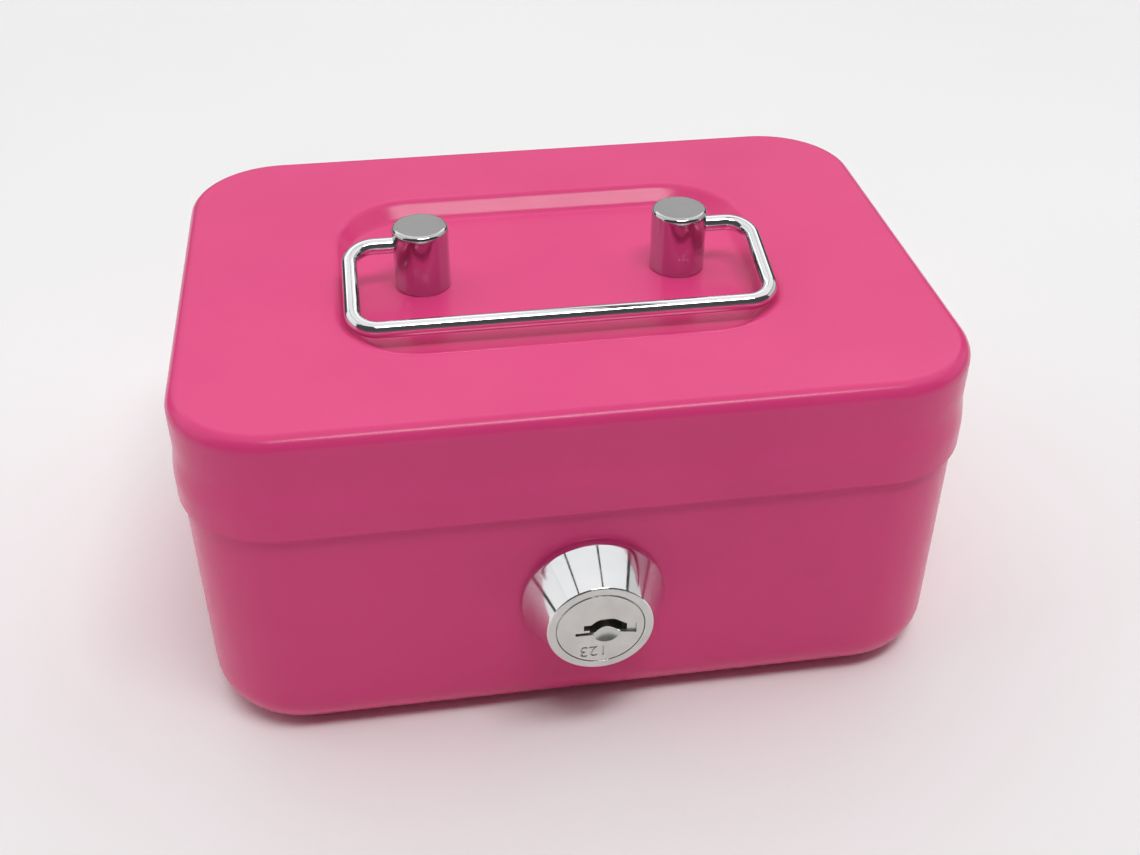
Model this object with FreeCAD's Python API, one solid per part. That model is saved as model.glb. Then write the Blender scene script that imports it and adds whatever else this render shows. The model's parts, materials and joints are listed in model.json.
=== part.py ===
import FreeCAD, Part
import math
import os

V = FreeCAD.Vector

# Small pressed-steel cash box, millimetres.
# X to the right, Y away from the lock, Z up; the origin is the middle of the base.

# box and lid
boxWidth = 123.4
boxDepth = 90.9
boxCorner = 15.8
boxBottomRadius = 7.5
sheet = 0.5
rimHeight = 42.3
lidHeight = 17.7
rimGap = 0.3
lidStandOff = 0.26
lidEdgeRadius = 2.4
bandHeight = 4.6
bandBlend = 4.0
bandRadius = 15.0
rimOverlap = 4.2
curlRadius = 1.5

# dish pressed into the lid, with the two handle posts
dishMarginX = 1.15
dishMarginY = 6.2
dishCorner = 14.0
dishDepth = 2.7
dishSlope = 3.0
dishRadius = 2.2
postSpacing = 43.6
postRadius = 4.65
postCap = 3.3
postEdge = 0.7
postScrewRadius = 1.9
postScrewGap = 1.5
postWasherRadius = 4.5
postWasherThick = 0.8
screwHead = 3.5
screwHeadHeight = 2.2

# wire handle
wireRadius = 1.35
handleOverhang = 11.9
handleReach = 19.5
handleBend = 4.2
pivotRise = 4.9
barRise = 0.51
pivotDepth = 5.0
pivotClear = 0.06

# lock
lockHeight = 25.0
lockProud = 7.9
coneBase = 11.4
coneFace = 8.25
coneBand = 0.5
barrelRadius = 8.2
barrelFlat = 7.5
barrelDepth = 11.5
plugHead = 6.9
plugHeadThick = 2.6
plugShaft = 6.2
plugClear = 0.06
tailSide = 6.4
keywayShift = 0.9
keywayDepth = 14.0
ledgeStart = 3.3
ledgeFront = 0.45
ledgeDeep = 2.2
waferCount = 4
waferPitch = 2.2
waferFirst = 4.6
waferThick = 1.0
waferWidth = 5.0
waferTravel = 0.6
waferClear = 0.04
stopTabAngle = 40.0
lockTurn = 90.0
lockNutFlats = 21.0
lockNutThick = 3.5
lockWasherThick = 0.6
stopWasherThick = 1.0
camThick = 1.6
camArm = 17.0
camHalf = 4.0
camToe = 5.0
camToeThick = 4.0
camScrewRadius = 1.95
camScrewGap = 0.4
camHeel = 6.2
camShoulder = 1.2
camWasherRadius = 4.4
camWasherThick = 0.6

# catch on the lid
strikeSheet = 1.2
strikeClear = 0.7
strikeLip = 3.0
strikeGap = 1.2
strikeLeg = 3.2
strikeFlangeLeft = 6.0
strikeFlangeRight = 12.0

# hinge
hingeLength = 70.0
knuckleCount = 5
knuckleGap = 0.3
pinRadius = 1.0
pinClear = 0.05
leafSheet = 0.6
leafHeight = 13.0
leafClear = 0.3
rivetRadius = 1.1
rivetHead = 1.9
rivetClear = 0.05
rivetPitch = 20.0
rivetEdge = 0.7
rivetCrown = 0.95
rivetUpset = 0.45

# coin tray
trayWall = 1.6
trayDepth = 19.5
trayFlange = 1.0
trayGap = 0.4
trayLip = 0.3
traySeat = 0.03
trayCornerEase = 1.5
frontWellHalf = 22.0
trayFrontClear = 2.45
wellRadius = 5.2
backRowFront = 2.0
backWells = 4

# values worked out from the sizes above
lidTop = rimHeight + lidHeight
rimTop = rimHeight + rimOverlap
rimOuter = rimGap + sheet
wallFoot = rimHeight + bandHeight + bandBlend
bandLean = math.atan2(rimOuter - lidStandOff, bandBlend)
wallStart = wallFoot + bandRadius * math.tan(bandLean / 2)
bodyFront = -boxDepth / 2
bodyBack = boxDepth / 2
dishFloor = lidTop - dishDepth
postX = postSpacing / 2
handleHalf = postX + handleOverhang
dishHalfX = handleHalf + wireRadius + dishMarginX
dishHalfY = handleReach + dishMarginY
pivotHeight = lidTop + pivotRise
postTop = pivotHeight + postCap
handleDrop = math.degrees(math.asin((pivotRise - barRise) / handleReach))
screwSeat = dishFloor - sheet - postWasherThick
postScrewLength = pivotHeight - wireRadius - postScrewGap - screwSeat
knuckleRadius = pinRadius + pinClear + leafSheet
hingeY = bodyBack + leafClear + knuckleRadius
hingeZ = rimHeight - leafClear - knuckleRadius
faceY = bodyFront - lockProud
barrelEnd = bodyFront + barrelDepth
stopWasherY = barrelEnd + 0.1
camY = stopWasherY + stopWasherThick
tailEnd = camY + camThick - 0.2
camScrewHole = faceY + keywayDepth + 1.0
camScrewSeat = camY + camThick + camWasherThick
camScrewLength = camScrewSeat - camScrewHole - camScrewGap
trayFront = camScrewSeat + screwHeadHeight + trayFrontClear
xAxis = V(1, 0, 0)
yAxis = V(0, 1, 0)
zAxis = V(0, 0, 1)
origin = V(0, 0, 0)


def roundedPath(corners, closed):
    # lines and tangent arcs through (u, v, radius) corners, drawn in the XZ plane
    count = len(corners)
    spans = []
    for i in range(count):
        u, v, radius = corners[i]
        here = V(u, 0, v)
        inner = closed or 0 < i < count - 1
        if radius > 0 and inner:
            before = corners[i - 1]
            after = corners[(i + 1) % count]
            a = (V(before[0], 0, before[1]) - here).normalize()
            b = (V(after[0], 0, after[1]) - here).normalize()
            half = a.getAngle(b) / 2
            run = radius / math.tan(half)
            toMiddle = (a + b).normalize() * (radius / math.sin(half) - radius)
            spans.append((here + a * run, here + toMiddle, here + b * run))
        else:
            spans.append((here, None, here))
    edges = []
    for i in range(count):
        start, middle, end = spans[i]
        if middle:
            edges.append(Part.Arc(start, middle, end).toShape())
        if i < count - 1 or closed:
            following = spans[(i + 1) % count][0]
            if (following - end).Length > 1e-6:
                edges.append(Part.makeLine(end, following))
    return Part.Wire(edges)


def roundedFace(corners):
    return Part.Face(roundedPath(corners, True))


def offsetPath(path, thick):
    # the same path moved to its left by thick, with the radii following
    moved = []
    for i in range(len(path)):
        u, v, radius = path[i]
        normals = []
        for j in (i - 1, i):
            if 0 <= j < len(path) - 1:
                du = path[j + 1][0] - path[j][0]
                dv = path[j + 1][1] - path[j][1]
                length = math.hypot(du, dv)
                normals.append((-dv / length, du / length))
        n = normals[0]
        m = normals[-1]
        scale = thick / (1 + n[0] * m[0] + n[1] * m[1])
        turnsLeft = n[0] * m[1] - n[1] * m[0] > 0
        newRadius = 0
        if radius > 0:
            newRadius = radius - thick if turnsLeft else radius + thick
        moved.append((u + scale * (n[0] + m[0]), v + scale * (n[1] + m[1]), newRadius))
    return moved


def strip(path, thick, edge):
    # a sheet section: the path, its offset, and lightly rounded ends
    back = offsetPath(path, thick)
    loop = [(u, v, r) for u, v, r in path]
    loop += [(u, v, r) for u, v, r in reversed(back)]
    for i in (0, len(path) - 1, len(path), 2 * len(path) - 1):
        loop[i] = (loop[i][0], loop[i][1], edge)
    return roundedFace(loop)


def ringSweep(section, width, depth, corner):
    # a section given as (offset from the outline, height), carried round a rounded rectangle
    halfX = width / 2 - corner
    halfY = depth / 2 - corner
    face = section.copy()
    face.translate(V(corner, 0, 0))
    pieces = []
    places = [(halfX, halfY), (-halfX, halfY), (-halfX, -halfY), (halfX, -halfY)]
    runs = [2 * halfX, 2 * halfY, 2 * halfX, 2 * halfY]
    for i in range(4):
        turned = face.revolve(origin, zAxis, 90)
        turned.rotate(origin, zAxis, 90 * i)
        turned.translate(V(places[i][0], places[i][1], 0))
        pieces.append(turned)
        side = face.copy()
        side.rotate(origin, zAxis, 90 * (i + 1))
        side.translate(V(places[i][0], places[i][1], 0))
        heading = 90 * (i + 2)
        way = V(math.cos(math.radians(heading)), math.sin(math.radians(heading)), 0)
        pieces.append(side.extrude(way * runs[i]))
    return pieces[0].multiFuse(pieces[1:])


def flat(corners, low, high):
    # a plate with a rounded outline in plan
    face = roundedFace(corners)
    face.rotate(origin, xAxis, -90)
    face.translate(V(0, 0, low))
    return face.extrude(V(0, 0, high - low))


def rectangle(halfX, halfY, radius):
    return [(-halfX, -halfY, radius), (halfX, -halfY, radius),
            (halfX, halfY, radius), (-halfX, halfY, radius)]


def upright(corners, front, back):
    # a plate with its outline in X and Z, between two values of Y
    face = roundedFace(corners)
    face.translate(V(0, front, 0))
    return face.extrude(V(0, back - front, 0))


def rod(radius, start, way, length):
    return Part.makeCylinder(radius, length, start, way)


def turnedAlongZ(corners, x, y):
    solid = roundedFace(corners).revolve(origin, zAxis, 360)
    solid.translate(V(x, y, 0))
    return solid


def sector(inner, outer, low, high, start, sweep):
    # part of a ring about Z
    face = roundedFace([(inner, low, 0), (outer, low, 0), (outer, high, 0), (inner, high, 0)])
    solid = face.revolve(origin, zAxis, sweep)
    solid.rotate(origin, zAxis, start)
    return solid


def alongLock(solid):
    # a piece drawn about Z, with Z into the box, moved onto the lock's line
    placed = solid.copy()
    placed.rotate(origin, xAxis, -90)
    placed.translate(V(0, bodyFront, lockHeight))
    return placed


def rivet(x, y, z, grip):
    # round head on the outside (+Y), upset head inside
    head = [(0, 0, 0), (rivetHead, 0, 0), (rivetHead * 0.8, rivetEdge, rivetEdge * 0.85), (0, rivetCrown, 0)]
    solid = roundedFace(head).revolve(origin, zAxis, 360)
    solid = solid.fuse(rod(rivetRadius, V(0, 0, -grip), zAxis, grip))
    tail = [(0, 0, 0), (rivetRadius * 1.6, 0, 0), (rivetRadius * 1.4, -rivetUpset, rivetUpset * 0.4),
            (0, -rivetUpset, 0)]
    upset = roundedFace(tail).revolve(origin, zAxis, 360)
    upset.translate(V(0, 0, -grip))
    solid = solid.fuse(upset)
    solid.rotate(origin, xAxis, -90)
    solid.translate(V(x, y, z))
    return solid


def panScrew(radius, length):
    # head below z 0, shank upwards, cross recess in the head
    head = [(0, 0, 0), (0, -screwHeadHeight, 0), (screwHead, -screwHeadHeight, screwHeadHeight * 0.6),
            (screwHead, 0, screwHeadHeight * 0.1)]
    solid = roundedFace(head).revolve(origin, zAxis, 360)
    solid = solid.fuse(rod(radius, origin, zAxis, length))
    slotLong = screwHead * 1.1
    slotWide = screwHead * 0.24
    slotDeep = screwHeadHeight * 0.6
    for turn in (0, 90):
        slot = Part.makeBox(slotLong, slotWide, slotDeep, V(-slotLong / 2, -slotWide / 2, -screwHeadHeight))
        slot.rotate(origin, zAxis, turn)
        solid = solid.cut(slot)
    return solid


def rivetRow():
    return [rivetPitch * (i - 1.5) for i in range(4)]


# rivet heights: the lower row on the box, the upper row above the overlap of box and lid
lowerRivetZ = hingeZ - leafHeight * 0.6
upperRivetZ = wallStart + rivetHead + 0.3


def boxBody():
    # flat floor, rounded lower edge, straight wall and an inward curl at the top
    curlZ = rimTop - curlRadius
    inside = curlRadius - sheet
    inset = boxBottomRadius + 1
    ends = V(-inset, 0, 0)
    outer = [
        Part.makeLine(ends, V(-boxBottomRadius, 0, 0)),
        Part.Arc(V(-boxBottomRadius, 0, 0),
                 V(-boxBottomRadius * (1 - math.sqrt(0.5)), 0, boxBottomRadius * (1 - math.sqrt(0.5))),
                 V(0, 0, boxBottomRadius)).toShape(),
        Part.makeLine(V(0, 0, boxBottomRadius), V(0, 0, curlZ)),
        Part.Arc(V(0, 0, curlZ), V(-curlRadius, 0, rimTop), V(-2 * curlRadius, 0, curlZ)).toShape(),
        Part.Arc(V(-2 * curlRadius, 0, curlZ),
                 V(-curlRadius * (1 + math.sqrt(0.5)), 0, curlZ - curlRadius * math.sqrt(0.5)),
                 V(-curlRadius, 0, curlZ - curlRadius)).toShape(),
        Part.makeLine(V(-curlRadius, 0, curlZ - curlRadius), V(-curlRadius, 0, curlZ - inside)),
        Part.Arc(V(-curlRadius, 0, curlZ - inside),
                 V(-curlRadius - inside * math.sqrt(0.5), 0, curlZ - inside * math.sqrt(0.5)),
                 V(-curlRadius - inside, 0, curlZ)).toShape(),
        Part.Arc(V(-curlRadius - inside, 0, curlZ), V(-curlRadius, 0, curlZ + inside),
                 V(-sheet, 0, curlZ)).toShape(),
        Part.makeLine(V(-sheet, 0, curlZ), V(-sheet, 0, boxBottomRadius)),
        Part.Arc(V(-sheet, 0, boxBottomRadius),
                 V(-boxBottomRadius + (boxBottomRadius - sheet) * math.sqrt(0.5), 0,
                   boxBottomRadius - (boxBottomRadius - sheet) * math.sqrt(0.5)),
                 V(-boxBottomRadius, 0, sheet)).toShape(),
        Part.makeLine(V(-boxBottomRadius, 0, sheet), V(-inset, 0, sheet)),
        Part.makeLine(V(-inset, 0, sheet), ends),
    ]
    wall = ringSweep(Part.Face(Part.Wire(outer)), boxWidth, boxDepth, boxCorner)
    floor = flat(rectangle(boxWidth / 2 - inset, boxDepth / 2 - inset, boxCorner - inset), 0, sheet)
    body = wall.fuse(floor).removeSplitter()
    hole = barrelProfile(-2, 2 * sheet, barrelRadius + 0.1, barrelFlat + 0.1)
    body = body.cut(alongLock(hole))
    for x in rivetRow():
        body = body.cut(rod(rivetRadius + rivetClear, V(x, bodyBack - 2, lowerRivetZ), yAxis, 4))
    return body


def lidOutline():
    # outside of the lid in section, from the flat top down to the rim
    return [
        (lidStandOff - lidEdgeRadius - 1.0, lidTop, 0),
        (lidStandOff, lidTop, lidEdgeRadius),
        (lidStandOff, wallFoot, bandRadius),
        (rimOuter, rimHeight + bandHeight, bandRadius),
        (rimOuter, rimHeight, 0),
    ]


def lidShell():
    skirt = ringSweep(strip(list(reversed(lidOutline())), sheet, 0.12), boxWidth, boxDepth, boxCorner)
    inset = lidStandOff - lidEdgeRadius - 0.9
    top = flat(rectangle(boxWidth / 2 + inset, boxDepth / 2 + inset, boxCorner + inset),
               lidTop - sheet, lidTop)
    lip = 1.6
    opening = flat(rectangle(dishHalfX + lip - 0.1, dishHalfY + lip - 0.1, dishCorner + lip - 0.1),
                   lidTop - 2 * sheet, lidTop + 1)
    step = [
        (lip, lidTop, 0),
        (0, lidTop, dishRadius),
        (-dishSlope, dishFloor, dishRadius),
        (-dishSlope - lip, dishFloor, 0),
    ]
    wall = ringSweep(strip(step, sheet, 0), 2 * dishHalfX, 2 * dishHalfY, dishCorner)
    foot = dishSlope + lip - 0.1
    floor = flat(rectangle(dishHalfX - foot, dishHalfY - foot, dishCorner - foot), dishFloor - sheet, dishFloor)
    lid = skirt.multiFuse([top.cut(opening), wall, floor]).removeSplitter()
    for side in (-1, 1):
        lid = lid.cut(rod(postScrewRadius + 0.2, V(side * postX, 0, dishFloor - 3), zAxis, 6))
    for x in rivetRow():
        lid = lid.cut(rod(rivetRadius + rivetClear, V(x, bodyBack - 3, upperRivetZ), yAxis, 6))
    return lid


def handlePost(side):
    post = turnedAlongZ([(0, dishFloor, 0), (postRadius, dishFloor, 0.2), (postRadius, postTop, postEdge),
                         (0, postTop, 0)], side * postX, 0)
    bore = rod(wireRadius + pivotClear, V(side * (postX + postRadius + 1), 0, pivotHeight), V(-side, 0, 0),
               pivotDepth + 1.3)
    tapTop = screwSeat + postScrewLength + 0.3
    tap = rod(postScrewRadius + 0.03, V(side * postX, 0, dishFloor - 1), zAxis, tapTop - dishFloor + 1)
    return post.cut(bore).cut(tap)


def postWashers():
    rings = []
    for side in (-1, 1):
        ring = rod(postWasherRadius, V(side * postX, 0, screwSeat), zAxis, postWasherThick)
        rings.append(ring.cut(rod(postScrewRadius + 0.2, V(side * postX, 0, screwSeat - 1), zAxis, lidTop)))
    return Part.makeCompound(rings)


def postScrews():
    screws = []
    for side in (-1, 1):
        screw = panScrew(postScrewRadius, postScrewLength)
        screw.translate(V(side * postX, 0, screwSeat))
        screws.append(screw)
    return Part.makeCompound(screws)


def handleBail():
    end = postX + postRadius - pivotDepth
    corners = [
        (-end, 0, 0),
        (-handleHalf, 0, handleBend),
        (-handleHalf, -handleReach, handleBend),
        (handleHalf, -handleReach, handleBend),
        (handleHalf, 0, handleBend),
        (end, 0, 0),
    ]
    path = roundedPath(corners, False)
    ring = Part.Wire(Part.makeCircle(wireRadius, V(-end, 0, 0), xAxis))
    wire = path.makePipe(Part.Face(ring))
    wire.rotate(origin, xAxis, -90)
    wire.rotate(origin, xAxis, handleDrop)
    wire.translate(V(0, 0, pivotHeight))
    return wire


def barrelProfile(low, high, radius, half):
    # round barrel with a flat above and below
    cylinder = rod(radius, V(0, 0, low), zAxis, high - low)
    return cylinder.common(Part.makeBox(4 * radius, 2 * half, high - low, V(-2 * radius, -half, low)))


def lockHousing():
    # drawn about Z with the box wall's outside at z 0 and Z into the box
    cone = roundedFace([(0, 0, 0), (0, -lockProud, 0), (coneFace, -lockProud, 0.35),
                        (coneBase, -coneBand, 0.5), (coneBase, 0, 0.3)]).revolve(origin, zAxis, 360)
    barrel = barrelProfile(-0.5, barrelDepth, barrelRadius, barrelFlat)
    collar = sector(plugShaft + 1.0, barrelRadius, barrelDepth - 0.2, barrelDepth + 0.8,
                    -90 + lockTurn / 2 + stopTabAngle / 2 + 2, 360 - lockTurn - stopTabAngle - 4)
    wide = 4 * barrelRadius
    collar = collar.common(Part.makeBox(wide, 2 * barrelFlat, wide, V(-wide / 2, -barrelFlat, 0)))
    housing = cone.multiFuse([barrel, collar]).removeSplitter()
    headSeat = -lockProud + plugHeadThick
    housing = housing.cut(rod(plugHead + plugClear, V(0, 0, -lockProud - 1), zAxis, plugHeadThick + 1))
    housing = housing.cut(rod(plugShaft + plugClear, V(0, 0, headSeat - 0.5), zAxis, lockProud + 2 * barrelDepth))
    grooveHalf = waferWidth / 2 + 0.3
    grooveReach = plugShaft + waferTravel + 0.3
    length = barrelDepth - 1.5 - headSeat
    for size in ((grooveReach, grooveHalf), (grooveHalf, grooveReach)):
        groove = Part.makeBox(2 * size[0], 2 * size[1], length, V(-size[0], -size[1], headSeat))
        housing = housing.cut(groove)
    return alongLock(housing)


def lockWasher():
    ring = rod(barrelRadius + 2.6, V(0, 0, sheet), zAxis, lockWasherThick)
    return alongLock(ring.cut(rod(barrelRadius + 0.15, origin, zAxis, 5)))


def lockNut():
    low = sheet + lockWasherThick
    corner = lockNutFlats / math.sqrt(3)
    points = [V(corner * math.cos(math.radians(60 * i + 30)), corner * math.sin(math.radians(60 * i + 30)), low)
              for i in range(7)]
    nut = Part.Face(Part.makePolygon(points)).extrude(V(0, 0, lockNutThick))
    edge = corner - lockNutFlats / 2
    dome = roundedFace([(0, low, 0), (corner - edge * 0.7, low, 0), (corner, low + edge * 0.4, 0),
                        (corner, low + lockNutThick - edge * 0.4, 0),
                        (corner - edge * 0.7, low + lockNutThick, 0), (0, low + lockNutThick, 0)])
    nut = nut.common(dome.revolve(origin, zAxis, 360))
    return alongLock(nut.cut(rod(barrelRadius + 0.02, origin, zAxis, 20)))


def keywayCorners():
    # outline of the keyway, arched in the middle, about the plug's middle
    c = keywayShift
    return [
        (c - 4.8, -1.1, 0), (c - 1.9, -1.1, 0.3), (c, -0.2, 2.4), (c + 2.4, -1.0, 0.6), (c + 4.7, -1.4, 0),
        (c + 4.7, 0.55, 0), (c + 3.2, 0.55, 0.6), (c + 1.2, 1.9, 1.6), (c - 1.2, 1.9, 1.6), (c - 2.4, 0.9, 0.3),
        (c - 3.5, 0.9, 0), (c - 3.5, -0.1, 0), (c - 2.6, -0.1, 0), (c - 2.6, -0.6, 0), (c - 4.8, -0.6, 0),
    ]


def waferPlaces():
    return [-lockProud + waferFirst + i * waferPitch for i in range(waferCount)]


springHalf = 0.6
springFoot = -4.0
springEnd = 1.6
springLane = waferWidth / 2 - 2 * springHalf - 0.15


def lockPlug():
    plug = rod(plugHead, V(0, 0, -lockProud), zAxis, plugHeadThick - 0.05)
    plug = plug.fuse(rod(plugShaft, V(0, 0, -lockProud + 0.5), zAxis, lockProud - 0.5 + barrelDepth + 0.1))
    tailLow = barrelDepth + 0.1 - 0.5
    tail = Part.makeBox(tailSide, tailSide, tailEnd - bodyFront - tailLow,
                        V(-tailSide / 2, -tailSide / 2, tailLow))
    tail = tail.common(rod(tailSide * 0.64, V(0, 0, tailLow), zAxis, 20))
    plug = plug.fuse(tail).removeSplitter()
    plug = plug.cut(rod(camScrewRadius + 0.03, V(0, 0, camScrewHole - bodyFront), zAxis, 2 * barrelDepth))
    plug = alongLock(plug)
    keyway = upright(keywayCorners(), faceY - 1, faceY + keywayDepth)
    keyway.translate(V(0, 0, lockHeight))
    plug = plug.cut(keyway)
    # ledge that closes the right end of the keyway just behind the face
    ledge = Part.makeBox(plugHead, ledgeDeep, 1.95, V(keywayShift + ledgeStart, faceY + ledgeFront, lockHeight - 1.4))
    plug = plug.fuse(ledge.common(rod(plugHead - 0.5, V(0, faceY, lockHeight), yAxis, plugHeadThick))).removeSplitter()
    thumb = Part.makeSphere(3.4, V(keywayShift, faceY - 2.55, lockHeight - 0.55))
    plug = plug.cut(thumb)
    for place in waferPlaces():
        low = bodyFront + place - waferClear
        high = bodyFront + place + waferThick + waferClear
        lane = Part.makeBox(40, high - low, springLane + waferWidth / 2 + 2 * waferClear,
                            V(-20, low, lockHeight - waferWidth / 2 - waferClear))
        pocket = Part.makeBox(20 - springFoot, high - low, waferWidth + 2 * waferClear,
                              V(springFoot, low, lockHeight - waferWidth / 2 - waferClear))
        plug = plug.cut(lane.fuse(pocket))
    return plug


def lockWafer(index):
    # a stamped plate with the key's window, cut away at one corner for its spring
    low = bodyFront + waferPlaces()[index]
    half = waferWidth / 2
    blank = rod(plugShaft - 0.1, V(0, low, lockHeight), yAxis, waferThick)
    blank = blank.common(Part.makeBox(40, waferThick, waferWidth, V(-20, low, lockHeight - half)))
    window = upright([(keywayShift - 4.9, -1.6, 0.2), (keywayShift + 3.3, -1.6, 0.2),
                      (keywayShift + 3.3, 1.0, 0.2), (keywayShift - 4.9, 1.0, 0.2)], low - 1, low + 3)
    window.translate(V(0, 0, lockHeight))
    corner = Part.makeBox(20 + springEnd, 4, 4, V(-20, low - 1, lockHeight + springLane))
    return blank.cut(window).cut(corner)


def waferSprings():
    # small coils between the plug and the wafers
    wire = 0.13
    turns = 4
    coils = []
    for place in waferPlaces():
        middle = bodyFront + place + waferThick / 2
        length = springEnd - springFoot - 2 * wire - 0.06
        radius = waferThick / 2 - wire - 0.03
        helix = Part.makeHelix(length / turns, length, radius)
        ring = Part.Wire(Part.makeCircle(wire, V(radius, 0, 0), yAxis))
        coil = helix.makePipeShell([ring], True, True)
        coil.rotate(origin, yAxis, 90)
        coil.translate(V(springFoot + wire + 0.03, middle, lockHeight + springLane + springHalf + 0.1))
        coils.append(coil)
    return Part.makeCompound(coils)


def stopWasher():
    # square on the plug's tail, with the tab that meets the housing's collar
    low = stopWasherY - bodyFront
    ring = rod(plugShaft + 0.7, V(0, 0, low), zAxis, stopWasherThick)
    tab = sector(plugShaft - 1, barrelRadius - 0.15, low, low + stopWasherThick,
                 -90 + lockTurn / 2 - stopTabAngle / 2, stopTabAngle)
    return alongLock(ring.fuse(tab).removeSplitter().cut(tailHole(low)))


def tailHole(low):
    side = tailSide + 0.06
    hole = Part.makeBox(side, side, 6, V(-side / 2, -side / 2, low - 2))
    return hole.common(rod(tailSide * 0.64 + 0.03, V(0, 0, low - 3), zAxis, 9))


def lockCam():
    # hooked arm, lying to the right with its toe up when unlocked
    wide = camHalf + camShoulder
    outline = [
        (-camHeel, -wide, 3.5), (camArm, -camHalf, 1.5), (camArm, camHalf + camToe, 1.0),
        (camArm - camToeThick, camHalf + camToe, 1.0), (camArm - camToeThick, camHalf, 1.0),
        (-camHeel, wide, 3.5),
    ]
    cam = upright(outline, camY, camY + camThick)
    cam.translate(V(0, 0, lockHeight))
    return cam.cut(alongLock(tailHole(camY - bodyFront)))


def camWasher():
    low = camY + camThick - bodyFront
    ring = rod(camWasherRadius, V(0, 0, low), zAxis, camWasherThick)
    return alongLock(ring.cut(rod(camScrewRadius + 0.15, V(0, 0, low - 1), zAxis, camWasherThick + 2)))


def camScrew():
    screw = panScrew(camScrewRadius, camScrewLength)
    screw.rotate(origin, xAxis, 180)
    screw.translate(V(0, 0, camScrewSeat - bodyFront))
    return alongLock(screw)


def lidStrike():
    # hook plate in the cam's plane, a shelf to the front wall and a welded flange
    toeLow = lockHeight + camArm - camToeThick
    lipTop = toeLow - strikeClear
    shelf = wallStart + 0.1
    middle = camY + camThick / 2
    lipEnd = -camHalf - strikeGap
    legInner = -camHalf - camToe - strikeGap
    legOuter = legInner - strikeLeg
    flangeLeft = legOuter - strikeFlangeLeft
    flangeRight = legInner + strikeFlangeRight
    hook = upright([
        (legOuter, shelf + strikeSheet, 0), (legOuter, lipTop - strikeLip, 1.0), (lipEnd, lipTop - strikeLip, 0.8),
        (lipEnd, lipTop, 0.8), (legInner, lipTop, 0.8), (legInner, shelf + strikeSheet, 0),
    ], middle - strikeSheet / 2, middle + strikeSheet / 2)
    wallIn = bodyFront - lidStandOff + sheet
    flangeTop = lidTop - lidEdgeRadius - 0.2
    plate = Part.makeBox(legInner - legOuter, middle + strikeSheet / 2 - wallIn, strikeSheet,
                         V(legOuter, wallIn, shelf))
    flange = upright([(flangeLeft, shelf, 1), (flangeRight, shelf, 1), (flangeRight, flangeTop, 2),
                      (flangeLeft, flangeTop, 2)], wallIn, wallIn + strikeSheet)
    return hook.multiFuse([plate, flange]).removeSplitter()


def knuckleSpan(index):
    step = hingeLength / knuckleCount
    low = -hingeLength / 2 + index * step + knuckleGap / 2
    return low, step - knuckleGap


def hingeLeaf(section, odd):
    # a leaf section carried along the hinge, cut back where the other leaf's knuckles are
    leaf = section.extrude(V(hingeLength, 0, 0))
    leaf.translate(V(-hingeLength / 2, 0, 0))
    for index in range(knuckleCount):
        low, length = knuckleSpan(index)
        start = V(low, hingeY, hingeZ)
        if index % 2 == odd:
            leaf = leaf.fuse(rod(knuckleRadius, start, xAxis, length))
        else:
            gap = V(low - knuckleGap, hingeY, hingeZ)
            leaf = leaf.cut(rod(knuckleRadius + leafClear, gap, xAxis, length + 2 * knuckleGap))
    leaf = leaf.removeSplitter()
    return leaf.cut(rod(pinRadius + pinClear, V(-hingeLength, hingeY, hingeZ), xAxis, 2 * hingeLength))


def onRear(face):
    # a section in (offset from the rear wall, height) turned into the YZ plane
    placed = face.copy()
    placed.rotate(origin, zAxis, 90)
    placed.translate(V(0, bodyBack, 0))
    return placed


def hingeBodyLeaf():
    section = roundedFace([(0, hingeZ, 0), (0, hingeZ - leafHeight, 0), (leafSheet, hingeZ - leafHeight, 0.25),
                           (leafSheet, hingeZ, 0)])
    leaf = hingeLeaf(onRear(section), 0)
    for x in rivetRow():
        leaf = leaf.cut(rod(rivetRadius + rivetClear, V(x, bodyBack - 1, lowerRivetZ), yAxis, 4))
    return leaf


def hingeLidLeaf():
    # follows the lid's wall, the step above the rim and the rim band
    path = [
        (lidStandOff, upperRivetZ + rivetHead + 0.6, 0),
        (lidStandOff, wallFoot, bandRadius),
        (rimOuter, rimHeight + bandHeight, bandRadius),
        (rimOuter, hingeZ, 0),
    ]
    leaf = hingeLeaf(onRear(strip(path, leafSheet, 0.0)), 1)
    for x in rivetRow():
        leaf = leaf.cut(rod(rivetRadius + rivetClear, V(x, bodyBack - 2, upperRivetZ), yAxis, 5))
    return leaf


def hingePin():
    length = hingeLength + 1.0
    pin = rod(pinRadius, V(-length / 2, hingeY, hingeZ), xAxis, length)
    ends = [e for e in pin.Edges if isinstance(e.Curve, Part.Circle)]
    return pin.makeFillet(0.3, ends)


def bodyLeafRivets():
    return Part.makeCompound([rivet(x, bodyBack + leafSheet, lowerRivetZ, leafSheet + sheet)
                              for x in rivetRow()])


def lidLeafRivets():
    return Part.makeCompound([rivet(x, bodyBack + lidStandOff + leafSheet, upperRivetZ, leafSheet + sheet)
                              for x in rivetRow()])


def well(corners, low, high):
    # one tray compartment with a scooped floor
    block = flat(corners, low, high)
    edges = [e for e in block.Edges if e.BoundBox.ZMax < low + 0.01]
    return block.makeFillet(wellRadius - 0.4, edges)


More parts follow.
